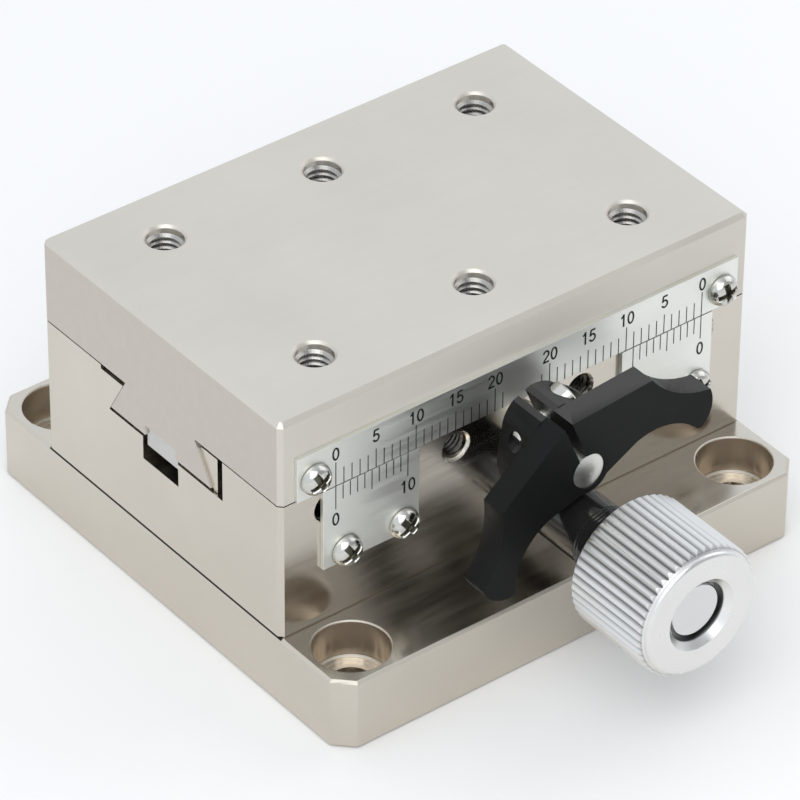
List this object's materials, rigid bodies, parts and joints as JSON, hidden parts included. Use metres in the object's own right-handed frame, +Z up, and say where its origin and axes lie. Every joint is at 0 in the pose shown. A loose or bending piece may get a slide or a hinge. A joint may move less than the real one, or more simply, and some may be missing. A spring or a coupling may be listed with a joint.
{
  "type": "dovetail slide table",
  "caption": "Flat dovetail slide table with a counterbored base, a thumb knob that drives a rack and pinion, a winged clamp lever and vernier scales on the front.",
  "frame": {"origin": "centre of the base plate's underside, which is the centre of its bolt pattern", "axes": "+X along the table's travel, +Y from the knob's side to the back, +Z up"},
  "size_m": [0.06, 0.0789, 0.035],
  "materials": {
    "nickel_brass": "satin, electroless nickel plated",
    "knob_aluminium": "satin, turned",
    "scale_aluminium": "satin, clear anodised",
    "black_aluminium": "matte, black anodised",
    "black_steel": "polished, black oxide",
    "bright_steel": "bright, nickel plated",
    "ground_steel": "ground",
    "plain_brass": "machined"
  },
  "bodies": {
    "base": {"base_plate": "nickel_brass", "base_screws": "bright_steel", "slide_base": "nickel_brass", "gib": "nickel_brass", "gib_set_screws": "bright_steel", "pinion_bushing": "black_steel", "bushing_set_screw": "bright_steel", "vernier_plate_left": "scale_aluminium", "vernier_plate_right": "scale_aluminium", "vernier_screws_left": "bright_steel", "vernier_screws_right": "bright_steel", "clamp_pad": "plain_brass", "stop_pin": "ground_steel"},
    "table": {"slide_table": "nickel_brass", "rack": "ground_steel", "rack_screws": "bright_steel", "main_scale_plate": "scale_aluminium", "main_scale_screws": "bright_steel"},
    "knob": {"pinion_shaft": "ground_steel", "knob": "knob_aluminium", "knob_screw": "bright_steel", "knob_cap": "knob_aluminium"},
    "clamp": {"clamp_screw": "bright_steel", "clamp_lever": "black_aluminium", "lever_cap_screw": "bright_steel"}
  },
  "joints": [
    {"name": "table_slide", "type": "slide", "parent": "base", "child": "table", "axis": [1, 0, 0], "range_m": [-0.02, 0.02]},
    {"name": "knob_turn", "type": "hinge", "parent": "base", "child": "knob", "pos_m": [0, 0, 0.0155], "axis": [0, 1, 0], "range_deg": [-383, 383]},
    {"name": "clamp_turn", "type": "hinge", "parent": "base", "child": "clamp", "pos_m": [0, 0, 0.0225], "axis": [0, 1, 0], "range_deg": [-14, 58]}
  ],
  "couplings": [
    {"joint": "knob_turn", "follows": "table_slide", "rad_per_m": 333.33}
  ]
}
